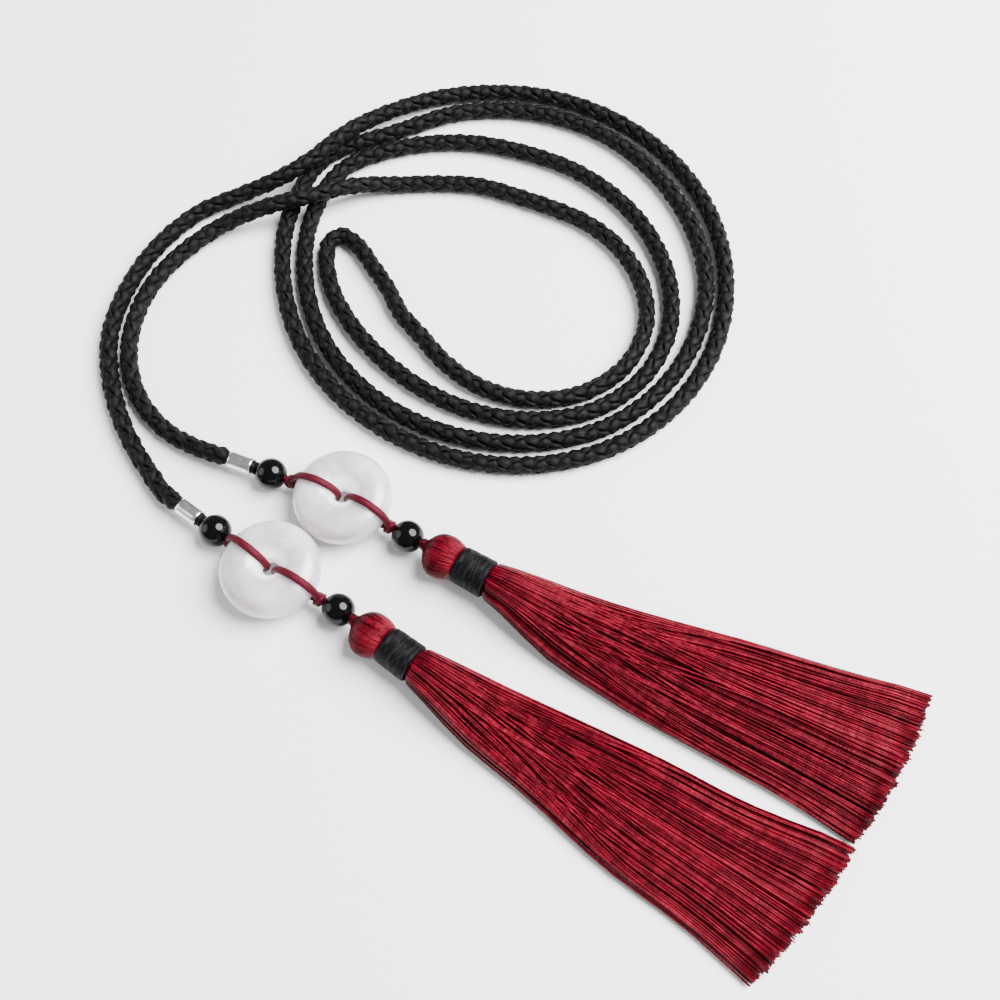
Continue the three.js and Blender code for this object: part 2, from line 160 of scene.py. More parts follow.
# Each end from its ring outwards, as in the solids
ENDS = {
    1: {
        "rope_side": 143.9,
        "rope_knot": 1.5,
        "tassel_side": -30.6,
        "tassel_knot": 2.4,
        "tassel": -36.4,
        "fringe": -32.4,
    },
    2: {
        "rope_side": 158.5,
        "rope_knot": 3.1,
        "tassel_side": -31.5,
        "tassel_knot": 2.1,
        "tassel": -30.5,
        "fringe": -25.2,
    },
}
FIRST_RING = (-51.3, -31.9)
SECOND_RING_SIDE = 49.5

# Each fringe: distance from the band, half width to the left, half width to the right, height
FRINGES = {
    1: (
        (0, 4.5, 4.6, 9.0),
        (4, 5.0, 5.5, 8.4),
        (18, 6.9, 8.7, 6.6),
        (36, 9.3, 10.6, 5.0),
        (58, 11.9, 13.9, 4.0),
        (80, 13.8, 15.4, 3.4),
        (100, 17.6, 18.7, 3.0),
    ),
    2: (
        (0, 4.5, 4.6, 9.0),
        (4, 5.1, 5.7, 8.4),
        (18, 6.9, 10.3, 6.6),
        (36, 9.2, 13.2, 5.0),
        (58, 12.6, 15.0, 4.0),
        (80, 15.3, 16.5, 3.4),
        (101, 18.9, 19.4, 3.0),
    ),
}
HANKS = 78
# A thread's first draw says how it lies: in the even bed, in a hank or, above CROSSING, across the others
EVEN_BED = 0.42
CROSSING = 0.945
# Each fringe's cut: its length in the middle, how much longer the left edge is, how far both edges fall short
CUTS = {1: (101.6, 3.2, 1.3), 2: (102.9, 2.6, 1.8)}


# Plain geometry
def heading(degrees):
    return np.array([math.cos(math.radians(degrees)), math.sin(math.radians(degrees)), 0.0])


def unit(v):
    v = np.asarray(v, float)
    return v / np.maximum(np.linalg.norm(v, axis=-1, keepdims=True), 1e-12)


def smooth(low, high, x):
    t = np.clip((np.asarray(x, float) - low) / (high - low), 0, 1)
    return t * t * (3 - 2 * t)


def rounded(angles, power):
    """Across and upward shares of an outline at the angles; a power of 1 is an ellipse, less is squarer."""
    ca, sa = np.cos(angles), np.sin(angles)
    return np.sign(ca) * np.abs(ca) ** power, np.sign(sa) * np.abs(sa) ** power


def spline(points, spacing):
    """A smooth line through the points, resampled at an even spacing."""
    p = np.asarray(points, float)
    d = np.linalg.norm(np.diff(p, axis=0), axis=1)
    slope = np.diff(p, axis=0) / d[:, None]
    m = np.empty_like(p)
    m[1:-1] = (slope[:-1] * d[1:, None] + slope[1:] * d[:-1, None]) / (d[:-1] + d[1:])[:, None]
    m[0], m[-1] = slope[0], slope[-1]
    fine = []
    for i, length in enumerate(d):
        t = np.linspace(0, 1, 24, endpoint=False)[:, None]
        fine.append(
            (2 * t**3 - 3 * t**2 + 1) * p[i]
            + (t**3 - 2 * t**2 + t) * m[i] * length
            + (-2 * t**3 + 3 * t**2) * p[i + 1]
            + (t**3 - t**2) * m[i + 1] * length
        )
    fine = np.vstack(fine + [p[-1:]])
    run = np.concatenate([[0], np.cumsum(np.linalg.norm(np.diff(fine, axis=0), axis=1))])
    count = max(2, round(run[-1] / spacing))
    at = np.linspace(0, run[-1], count + 1)
    return np.stack([np.interp(at, run, fine[:, k]) for k in range(3)], axis=1)


def directions(path, side=None):
    """Along, across and upward directions at each point of a line."""
    along = unit(np.gradient(path, axis=0))
    if side is None:
        across = unit(np.cross(np.array([0.0, 0.0, 1.0]), along))
    else:
        across = unit(side - along * (along @ side)[:, None])
    return along, across, np.cross(along, across)


def circle(centre, side, up, radius, angles):
    """Points at a radius round a centre, or round one centre each."""
    across, tall = radius * np.cos(angles), radius * np.sin(angles)
    return centre + side * across[:, None] + up * tall[:, None]


def column(table, k, at):
    """Column k of a fringe's table, smooth between its rows, at the given distances."""
    rows = np.array(table)
    points = np.stack([rows[:, 0], rows[:, k]], axis=1)
    fine = spline(points @ np.eye(2, 3), 1.0)
    return np.interp(at, fine[:, 0], fine[:, 1])


def layout(number):
    """Where one end's pieces lie."""
    end = ENDS[number]
    ring = np.array([*FIRST_RING, 0.0])
    if number == 2:
        ring = ring + heading(SECOND_RING_SIDE) * (RING_DIAMETER + GAP + 0.1)
    back, out = heading(end["rope_side"]), heading(end["tassel_side"])
    bead = BEAD_DIAMETER / 2
    lift = np.array([0.0, 0.0, 1.0])
    reach = RING_DIAMETER / 2 + GAP
    rope_bead = ring + back * (reach + end["rope_knot"] + GAP + bead) + lift * AXIS_Z
    collar_far = rope_bead + back * (bead + GAP)
    collar_near = collar_far + back * COLLAR_LENGTH
    ferrule_far = collar_near + back * GAP
    tassel_way = heading(end["tassel"])
    tassel_bead = ring + out * (reach + end["tassel_knot"] + GAP + bead)
    head = tassel_bead + tassel_way * (bead + GAP + 0.1) + lift * HEAD_Z
    tassel_knot = ring + out * (reach + end["tassel_knot"] / 2) + lift * AXIS_Z
    in_head = head + tassel_way * HEAD_LENGTH * 0.35
    run = np.linalg.norm(tassel_bead - ring) - reach - end["tassel_knot"] / 2
    share = run / np.linalg.norm((in_head - tassel_knot)[:2])
    tassel_bead[2] = AXIS_Z + (in_head[2] - AXIS_Z) * share
    band = head + tassel_way * HEAD_LENGTH
    return {
        "ring": ring,
        "back": back,
        "out": out,
        "rope_bead": rope_bead,
        "collar_near": collar_near,
        "ferrule_far": ferrule_far,
        "mouth": ferrule_far + back * FERRULE_LENGTH,
        "rope_knot": ring + back * (reach + end["rope_knot"] / 2) + lift * AXIS_Z,
        "tassel_knot": tassel_knot,
        "tassel_bead": tassel_bead,
        "in_head": in_head,
        "tassel_way": tassel_way,
        "head": head,
        "band": band,
        "band_end": band + tassel_way * BAND_LENGTH,
        "fringe_way": heading(end["fringe"]),
    }


LAYOUTS = {number: layout(number) for number in ENDS}


def strand_point(strand, angle):
    table = STRANDS[strand]
    share = (angle % 360) / 30
    i = int(share)
    t = share - i
    a, b, c, d = (table[(i + k) % 12] for k in (-1, 0, 1, 2))
    far = b + 0.5 * t * (c - a + t * (2 * a - 5 * b + 4 * c - d + t * (3 * (b - c) + d - a)))
    turn = math.radians(angle)
    return (COIL[0] + far * math.cos(turn), COIL[1] + far * math.sin(turn), FLOOR_Z)


def rope_route():
    """From the first ferrule: tail, turns, the doubling back, the innermost strand and the other tail."""
    ends = {
        number: [tuple(at["mouth"] + at["back"] * (GAP + d)) for d in (0, SQUARE_END)]
        for number, at in LAYOUTS.items()
    }
    points = [*ends[1], *FIRST_TAIL]
    for strand, start, stop in (("outer", 100, -220), ("second", 120, -220), ("third", 120, -180)):
        points += [strand_point(strand, angle) for angle in range(start, stop - 1, -STEP)]
    points += list(BIGHT)
    points += [strand_point("inner", angle) for angle in range(200, 481, STEP)]
    points += list(SECOND_TAIL)
    points += reversed(ends[2])
    return points


class Bundle:
    """Gathers tubes and turned bodies, and makes one mesh of them."""

    def __init__(self):
        self.points, self.quads, self.fans, self.uvs, self.fan_uvs, self.tones = [], [], [], [], [], []
        self.count = 0

    def grid(self, rings, tone=0.5, caps=True, closed_along=False):
        """Rings of points, shape (rows, sides, 3), joined into a skin.

        u runs round it once, and v along it in millimetres.
        """
        rings = np.asarray(rings, float)
        rows, sides = rings.shape[:2]
        index = self.count + np.arange(rows * sides).reshape(rows, sides)
        middle = rings.mean(axis=1)
        run = np.concatenate([[0], np.cumsum(np.linalg.norm(np.diff(middle, axis=0), axis=1))])
        if run[-1] < 1e-6:
            run = np.arange(rows, dtype=float)
        lower, upper = index, np.roll(index, -1, axis=0)
        last = rows if closed_along else rows - 1
        lower, upper = lower[:last], upper[:last]
        quads = np.stack([lower, np.roll(lower, -1, axis=1), np.roll(upper, -1, axis=1), upper], axis=-1)
        k = np.arange(sides)
        v0 = run[:last]
        v1 = np.append(run, run[-1] + 1)[1 : last + 1]
        u0, u1 = k / sides, (k + 1) / sides
        uv = np.empty((last, sides, 4, 2))
        uv[:, :, 0, 0], uv[:, :, 1, 0], uv[:, :, 2, 0], uv[:, :, 3, 0] = u0, u1, u1, u0
        uv[:, :, 0, 1] = uv[:, :, 1, 1] = v0[:, None]
        uv[:, :, 2, 1] = uv[:, :, 3, 1] = v1[:, None]
        self.quads.append(quads.reshape(-1, 4))
        self.uvs.append(uv.reshape(-1, 2))
        self.points.append(rings.reshape(-1, 3))
        self.tones.append(np.repeat(np.broadcast_to(np.asarray(tone, float), (rows,)), sides))
        self.count += rows * sides
        if caps and not closed_along:
            self.fans.append(list(index[0][::-1]))
            self.fan_uvs.append(np.tile([[0.5, run[0]]], (sides, 1)))
            self.fans.append(list(index[-1]))
            self.fan_uvs.append(np.tile([[0.5, run[-1]]], (sides, 1)))

    def tube(
        self, path, half_across, half_up, sides, side=None, tone=0.5, power=1.0, closed_along=False
    ):
        """A tube along a line; its half sizes may change along it."""
        path = np.asarray(path, float)
        if closed_along:
            along = unit(np.roll(path, -1, axis=0) - np.roll(path, 1, axis=0))
            across = unit(side - along * (along @ side)[:, None])
            up = np.cross(along, across)
        else:
            _, across, up = directions(path, side)
        a = 2 * np.pi * np.arange(sides) / sides
        ca, sa = rounded(a, power)
        wide = np.broadcast_to(np.asarray(half_across, float), (len(path),))
        tall = np.broadcast_to(np.asarray(half_up, float), (len(path),))
        rings = (
            path[:, None]
            + across[:, None] * (wide[:, None] * ca)[..., None]
            + up[:, None] * (tall[:, None] * sa)[..., None]
        )
        self.grid(rings, tone, closed_along=closed_along)

    def turned(self, start, way, profile, sides, tone=0.5, caps=True, closed_along=False, ripple=None):
        """A body turned round a line from start along way; profile rows are (distance, radius)."""
        way = unit(way)
        across = unit(np.cross([0.0, 0.0, 1.0], way)) if abs(way[2]) < 0.99 else np.array([1.0, 0.0, 0.0])
        up = np.cross(way, across)
        a = 2 * np.pi * np.arange(sides) / sides
        rings = []
        for distance, radius in profile:
            r = radius + (ripple(distance, a) if ripple else 0.0)
            rings.append(
                start + way * distance + np.outer(np.cos(a) * r, across) + np.outer(np.sin(a) * r, up)
            )
        self.grid(np.array(rings), tone, caps, closed_along=closed_along)

    def piece(self, name, material, slot, *nodes):
        """Makes the mesh, and lets it ride in place of the named solids."""
        points = np.vstack(self.points) * MM
        quads = np.vstack(self.quads)
        mesh = bpy.data.meshes.new(name)
        starts = np.arange(len(quads)) * 4
        loops = np.concatenate([quads.ravel(), *[np.array(fan) for fan in self.fans]])
        fan_sizes = [len(fan) for fan in self.fans]
        fan_starts = len(quads) * 4 + np.concatenate([[0], np.cumsum(fan_sizes)])[:-1]
        mesh.vertices.add(len(points))
        mesh.vertices.foreach_set("co", points.ravel())
        mesh.loops.add(len(loops))
        mesh.loops.foreach_set("vertex_index", loops.astype(np.int32))
        mesh.polygons.add(len(quads) + len(self.fans))
        mesh.polygons.foreach_set("loop_start", np.concatenate([starts, fan_starts]).astype(np.int32))
        mesh.update(calc_edges=True)
        layer = mesh.uv_layers.new(name="run")
        uv = np.vstack(self.uvs + self.fan_uvs)
        layer.data.foreach_set("uv", uv.ravel())
        tone = mesh.attributes.new("tone", "FLOAT", "POINT")
        tone.data.foreach_set("value", np.concatenate(self.tones).astype(np.float32))
        mesh.polygons.foreach_set("use_smooth", np.full(len(mesh.polygons), True))
        mesh.validate()
        mesh.materials.append(material)
        piece = bpy.data.objects.new(name, mesh)
        bpy.context.scene.collection.objects.link(piece)
        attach(piece, BODY)
        if nodes:
            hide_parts(*nodes)
        return piece


# Materials
class Value:
    """A socket, so that shader maths is written as an expression."""

    def __init__(self, paint, socket):
        self.paint, self.socket = paint, socket

    def maths(self, operation, *others, flip=False):
        parts = [self, *others]
        if flip:
            parts.reverse()
        return self.paint.node("ShaderNodeMath", {"operation": operation}, dict(enumerate(parts)))

    def __add__(self, other):
        return self.maths("ADD", other)

    __radd__ = __add__

    def __sub__(self, other):
        return self.maths("SUBTRACT", other)

    def __rsub__(self, other):
        return self.maths("SUBTRACT", other, flip=True)

    def __mul__(self, other):
        return self.maths("MULTIPLY", other)

    def sine(self):
        return self.maths("SINE")

    def between(self, low, high):
        """0 below low, 1 above high."""
        return self.paint.node(
            "ShaderNodeMapRange",
            {"interpolation_type": "SMOOTHSTEP"},
            {"Value": self, "From Min": low, "From Max": high},
        )


class Paint:
    """One material and its nodes."""

    def __init__(self, name, **constants):
        self.material = bpy.data.materials.new(name)
        self.material.use_nodes = True
        self.tree = self.material.node_tree
        self.tree.nodes.clear()
        self.shader = self.tree.nodes.new("ShaderNodeBsdfPrincipled")
        output = self.tree.nodes.new("ShaderNodeOutputMaterial")
        self.tree.links.new(self.shader.outputs[0], output.inputs[0])
        for socket, value in constants.items():
            self.shader.inputs[socket.replace("_", " ").title().replace("Ior", "IOR")].default_value = value

    def feed(self, node, key, value):
        socket = node.inputs[key]
        if isinstance(value, Value):
            self.tree.links.new(value.socket, socket)
        else:
            socket.default_value = value

    def node(self, kind, settings=None, inputs=None, output=0):
        made = self.tree.nodes.new(kind)
        for key, value in (settings or {}).items():
            if key == "stops":
                ramp = made.color_ramp
                while len(ramp.elements) < len(value):
                    ramp.elements.new(0.5)
                for element, (place, colour) in zip(ramp.elements, value):
                    element.position, element.color = place, (*colour, 1)
            else:
                setattr(made, key, value)
        for key, value in (inputs or {}).items():
            self.feed(made, key, value)
        return Value(self, made.outputs[output])

    def run(self):
        """Position round and along a piece, as a vector."""
        return self.node("ShaderNodeUVMap", {"uv_map": "run"})

    def place(self):
        return self.node("ShaderNodeTexCoord", output=3)

    def tone(self):
        return self.node("ShaderNodeAttribute", {"attribute_name": "tone"}, output=2)

    def part(self, vector, axis):
        return self.node("ShaderNodeSeparateXYZ", None, {0: vector}, output=axis)

    def stretched(self, vector, scale):
        return self.node("ShaderNodeVectorMath", {"operation": "MULTIPLY"}, {0: vector, 1: scale})

    def noise(self, vector, scale, detail=2.0, roughness=0.5):
        inputs = {"Vector": vector, "Scale": scale, "Detail": detail, "Roughness": roughness}
        return self.node("ShaderNodeTexNoise", None, inputs)

    def mix(self, share, one, two):
        one, two = [(*c, 1) if isinstance(c, tuple) else c for c in (one, two)]
        return self.node("ShaderNodeMix", {"data_type": "RGBA"}, {0: share, 6: one, 7: two}, output=2)

    def ramp(self, share, stops):
        return self.node("ShaderNodeValToRGB", {"stops": stops}, {0: share})

    def look(self, colour=None, roughness=None, bump=None, strength=0.5, distance=0.0002):
        if colour is not None:
            self.feed(self.shader, "Base Color", colour)
        if roughness is not None:
            self.feed(self.shader, "Roughness", roughness)
        if bump is not None:
            inputs = {"Height": bump, "Strength": strength, "Distance": distance}
            self.feed(self.shader, "Normal", self.node("ShaderNodeBump", None, inputs))
        return self.material


def shade(colour, factor):
    return tuple(min(1.0, c * factor) for c in colour)


def braid_material(colour):
    """Black strands: fine fibres along each, with painted light where a strand lies on top, painted shade
    where it dives, and patches of painted highlight.
    """
    p = Paint("black_braid", specular_ior_level=0.08)
    run = p.run()
    fibre = p.noise(p.stretched(run, (34.0, 0.32, 1.0)), 1.0, 3.0, 0.6)
    sheen_patch = p.noise(p.place(), 900.0, 3.0, 0.6)
    lit_on_top = p.tone().between(0.1, 0.95)
    # Painted shade where a strand dives under the others; painted highlights in patches and along the fibres
    # on top
    share = (fibre * 0.6 + sheen_patch * 1.1 - 0.52).between(0.1, 0.7) * (lit_on_top * 0.92 + 0.08)
    base = p.mix(share, shade(colour, 0.1), shade(colour, 4.6))
    return p.look(base, 0.86 - lit_on_top * 0.22 - fibre * 0.24, fibre, 0.8, 0.00016)


def silver_material(colour):
    """Silver tube with fine brush marks and faint wear."""
    p = Paint("silver", metallic=1.0)
    wear = p.noise(p.place(), 700.0, 4.0, 0.65)
    brushed = p.noise(p.stretched(p.run(), (40.0, 0.5, 1.0)), 1.0, 2.0)
    base = p.mix(wear.between(0.35, 0.7), shade(colour, 0.8), colour)
    return p.look(base, 0.16 + brushed * 0.16, brushed, 0.15, 0.00005)


def collar_material(colour):
    """Black thread wound tight, with painted light on the crest of each turn and painted shade in the grooves
    between them.
    """
    p = Paint("black_trim", specular_ior_level=0.12)
    wound = (p.part(p.run(), 1) * 22.0).sine() * 0.5 + 0.5
    # Painted shade in the grooves between turns, painted light on their crests
    return p.look(p.mix(wound, shade(colour, 0.4), shade(colour, 1.6)), 0.6 - wound * 0.2, wound, 0.5, 0.0001)


def bead_material(colour):
    """Glossy black, with faint smears."""
    p = Paint("black_bead", specular_ior_level=0.2)
    smear = p.noise(p.place(), 260.0, 3.0)
    base = p.mix(smear, shade(colour, 0.7), shade(colour, 1.3))
    return p.look(base, 0.09 + smear.between(0.45, 0.8) * 0.06)


def stone_material(colour):
    """Milky white stone, clouded inside and polished; the skin round the hole is painted nearly white and
    glows, as painted light.
    """
    p = Paint(
        "milky_stone",
        subsurface_weight=1.0,
        subsurface_radius=(0.009, 0.0085, 0.0088),
        subsurface_scale=1.0,
        coat_weight=1.0,
        coat_roughness=0.2,
        ior=1.45,
        emission_strength=1.0,
    )
    cloud = p.noise(p.place(), 95.0, 3.0, 0.55)
    vein = p.noise(p.place(), 330.0, 4.0, 0.6)
    base = p.mix(cloud.between(0.3, 0.7), shade(colour, 0.7), shade(colour, 1.14))
    base = p.mix(vein.between(0.5, 0.75) * 0.45, base, shade(colour, 1.2))
    # Painted light: the skin that faces the hole is made nearly white
    base = p.mix(p.tone(), base, (0.985, 0.98, 0.982))
    # Painted glow: the skin round the hole emits light, standing in for light that comes through the thin
    # edge
    p.feed(p.shader, "Emission Color", p.mix(p.tone(), (0.0, 0.0, 0.0), (0.75, 0.69, 0.71)))
    return p.look(base, 0.2 + vein * 0.12, vein, 0.03, 0.0001)


def cord_material(colour):
    """Satin cord: fine slanting floats over a round core, with uneven grain; the floats are painted lighter
    and the grooves between them darker, as painted sheen and shade.
    """
    p = Paint("red_cord", specular_ior_level=0.3, specular_tint=(1.0, 0.3, 0.42, 1.0))
    run = p.run()
    slant = (p.part(run, 0) * 37.7 + p.part(run, 1) * 12.0).sine() * 0.5 + 0.5
    grain = p.noise(p.stretched(run, (12.0, 3.4, 1.0)), 1.0, 4.0, 0.65)
    # Uneven grain, with painted sheen on the slanting floats and painted shade between them
    share = (slant * 0.3 + grain * 1.1 - 0.2).between(0.1, 0.9)
    base = p.mix(share, shade(colour, 0.35), shade(colour, 1.9))
    return p.look(base, 0.62 - grain * 0.25, slant * 0.35 + grain, 0.7, 0.00014)


def silk_material(name, colour, deep):
    """Silk threads, each with its own tone and painted shade, lightened by painted sheen in patches and
    painted highlights; deep is the share that the darkest keep.
    """
    p = Paint(name, specular_ior_level=0.45, specular_tint=(1.0, 0.1, 0.16, 1.0))
    run = p.run()
    fibre = p.noise(p.stretched(run, (3.0, 0.8, 1.0)), 1.0, 3.0, 0.65)
    sheen_patch = p.noise(p.place(), 330.0, 4.0, 0.7).between(0.38, 0.62)
    share = (p.tone() * 0.75 + fibre * 0.5 + sheen_patch * 0.4 - 0.33).between(0.05, 0.95)
    # Painted highlight at the top of the ramp, painted shade at its foot where the tone is low
    base = p.ramp(share, [(0.0, shade(colour, deep)), (0.5, colour), (1.0, shade(colour, 2.7))])
    return p.look(base, 0.56 - fibre * 0.3, fibre + sheen_patch * 0.5, 0.7, 0.00012)


def band_material(colour):
    """Black satin binding: fine windings round it, and a grain that runs along it; painted sheen lightens the
    windings and patches.
    """
    p = Paint("black_satin", specular_ior_level=0.07)
    run = p.run()
    weave = (p.part(run, 1) * 14.0).sine() * 0.5 + 0.5
    grain = p.noise(p.stretched(run, (60.0, 1.6, 1.0)), 1.0, 3.0, 0.6)
    share = (weave * 0.35 + grain * 0.7).between(0.15, 0.85)
    sheen_patch = p.noise(p.stretched(run, (9.0, 1.3, 1.0)), 1.0, 4.0, 0.7).between(0.44, 0.62)
    # Painted sheen on the windings and in patches, over the grain
    base = p.mix(share * (sheen_patch * 0.9 + 0.1), shade(colour, 0.3), shade(colour, 14.0))
    return p.look(base, 0.6 - sheen_patch * 0.18, grain + sheen_patch * 0.6, 0.5, 0.0001)


# Settings
def size(label, note, value, low, high):
    return FloatProperty(
        name=label,
        description=note,
        default=value * MM,
        min=low * MM,
        max=high * MM,
        unit="LENGTH",
        precision=4,
    )


def tint(label, note, value):
    return FloatVectorProperty(
        name=label, description=note, default=value, size=3, min=0, max=1, subtype="COLOR"
    )


class RopeSettings(PropertyGroup):
    diameter: size("Diameter", "Thickness of the braid", 5.0, 3, 8)
    pitch: size("Pitch", "Length in which a strand goes once round", 24.4, 12, 32)
    strands: IntProperty(
        name="Strands each way", description="Strands that run each way round", default=4, min=3, max=6
    )
    colour: tint("Colour", "Colour of the braid", (0.0023, 0.0023, 0.0026))


class FittingSettings(PropertyGroup):
    bead: size("Bead", "Diameter of the beads", BEAD_DIAMETER, 4, 12)
    ferrule: size("Ferrule", "Diameter of the ferrules", FERRULE_DIAMETER, 3, 7)
    metal: tint("Metal", "Colour of the ferrules", (0.82, 0.82, 0.84))
    black: tint("Black", "Colour of the beads and collars", (0.0012, 0.0012, 0.0014))


class RingSettings(PropertyGroup):
    diameter: size("Diameter", "Outside diameter of the rings", RING_DIAMETER, 16, 40)
    height: size("Height", "Thickness of the rings", RING_HEIGHT, 3, 12)
    colour: tint("Colour", "Colour of the stone", (0.575, 0.525, 0.553))


class CordSettings(PropertyGroup):
    width: size("Width", "Width of the red cord", 1.95, 1, 3)
    colour: tint("Colour", "Colour of the red cord", (0.04, 0.0019, 0.0058))


class TasselSettings(PropertyGroup):
    threads: IntProperty(
        name="Threads", description="Threads in each fringe", default=1250, min=100, max=1300
    )
    thread: size("Thread", "Thickness of a thread", 0.36, 0.2, 1)
    silk: tint("Silk", "Colour of the silk", (0.047, 0.0009, 0.004))
    band: tint("Band", "Colour of the binding", (0.0012, 0.0012, 0.0014))


class StageSettings(PropertyGroup):
    floor: tint("Floor", "Colour of the floor", (0.93, 0.93, 0.93))
    light: FloatProperty(name="Light", description="Strength of the soft lights", default=1.0, min=0, max=10)


SETTINGS = {
    "rope_belt_rope": RopeSettings,
    "rope_belt_fittings": FittingSettings,
    "rope_belt_rings": RingSettings,
    "rope_belt_cords": CordSettings,
    "rope_belt_tassels": TasselSettings,
    "rope_belt_stage": StageSettings,
}


def settings(context, name):
    return getattr(context.scene, f"rope_belt_{name}")


# Pieces
class ROPEBELT_OT_stage(Operator):
    """Make the pale floor, the soft lights and the camera"""

    bl_idname = "rope_belt.stage"
    bl_label = "Stage"

    def execute(self, context):
        chosen = settings(context, "stage")
        camera = bpy.data.objects.new("camera", bpy.data.cameras.new("camera"))
        context.scene.collection.objects.link(camera)
        camera.location = [v * MM for v in CAMERA_PLACE]
        camera.rotation_euler = (math.radians(CAMERA_TILT), 0, 0)
        camera.data.lens = CAMERA_LENS
        camera.data.sensor_width = 36
        camera.data.clip_start = 0.01
        context.scene.camera = camera

        mesh = bpy.data.meshes.new("floor")
        corners = [(x * FLOOR_REACH, y * FLOOR_REACH, 0) for x, y in ((-1, -1), (1, -1), (1, 1), (-1, 1))]
        mesh.from_pydata(corners, [], [(0, 1, 2, 3)])
        p = Paint("floor", roughness=0.7, specular_ior_level=0.2)
        mesh.materials.append(p.look((*chosen.floor, 1)))
        floor = bpy.data.objects.new("floor", mesh)
        context.scene.collection.objects.link(floor)

        world = bpy.data.worlds.new("studio")
        world.use_nodes = True
        world.node_tree.nodes["Background"].inputs[0].default_value = (1, 1, 1, 1)
        world.node_tree.nodes["Background"].inputs[1].default_value = WORLD_STRENGTH * chosen.light
        context.scene.world = world
        for name, spot, wide, power in LAMPS:
            lamp = bpy.data.lights.new(name, "AREA")
            lamp.shape = "DISK"
            lamp.size = wide
            lamp.energy = power * chosen.light
            holder = bpy.data.objects.new(name, lamp)
            holder.location = spot
            aim = -holder.location
            holder.rotation_euler = aim.to_track_quat("-Z", "Y").to_euler()
            context.scene.collection.objects.link(holder)
        return {"FINISHED"}


class ROPEBELT_OT_rope(Operator):
    """Braid the rope along its route"""

    bl_idname = "rope_belt.rope"
    bl_label = "Rope"

    def execute(self, context):
        chosen = settings(context, "rope")
        radius = chosen.diameter / MM / 2
        pitch, count = chosen.pitch / MM, chosen.strands
        path = spline(rope_route(), pitch / 18)
        run = np.concatenate([[0], np.cumsum(np.linalg.norm(np.diff(path, axis=0), axis=1))])
        _, across, up = directions(path)
        # Narrower where it enters the ferrules
        least, full, pinch = 0.4, 3.2, 0.24
        narrow = 1 - pinch * (1 - smooth(least, full, run))
        narrow = narrow - pinch * smooth(run[-1] - full, run[-1] - least, run)
        # Slightly uneven, as the braid is pulled by hand
        uneven = 1 + 0.018 * np.sin(run / 17.0) + 0.014 * np.sin(run / 7.3 + 1.0)
        half_thick, half_wide = 0.23 * radius, 0.42 * radius
        wave = 0.17 * radius
        middle = radius - half_thick * 1.15 - wave
        bundle = Bundle()
        rnd = random.Random(3)
        sides, squareness = 10, 0.85
        for turn in (1, -1):
            for k in range(count):
                angle = turn * 2 * np.pi * run / pitch + 2 * np.pi * k / count
                angle = angle + 0.05 * np.sin(run / rnd.uniform(5, 8) + k)
                angle = angle + 0.04 * np.sin(run / rnd.uniform(11, 16) + 2 * k)
                over = turn * np.cos(4 * np.pi * count / 2 * run / pitch)
                reach = (middle + wave * over) * narrow * uneven
                outward = across * np.cos(angle)[:, None] + up * np.sin(angle)[:, None]
                line = path + outward * reach[:, None]
                way = unit(np.gradient(line, axis=0))
                beside = unit(np.cross(way, outward))
                outward = np.cross(beside, way)
                a = 2 * np.pi * (np.arange(sides) + 0.5) / sides
                ca, sa = rounded(a, squareness)
                # Plump where the strand lies on top, pinched where it dives
                wide = half_wide * narrow * (1 + 0.22 * over)
                tall = half_thick * narrow * (1 + 0.15 * over)
                rings = (
                    line[:, None]
                    + beside[:, None] * (wide[:, None] * ca)[..., None]
                    + outward[:, None] * (tall[:, None] * sa)[..., None]
                )
                # Painted shade: the tone is low where the strand dives under the others, and each strand also
                # gets a little random tone
                bundle.grid(rings, tone=0.5 + 0.5 * over + rnd.uniform(-0.1, 0.1))
        rope = bundle.piece("rope_braid", braid_material(tuple(chosen.colour)), "black_braid", "rope")
        return {"FINISHED"}


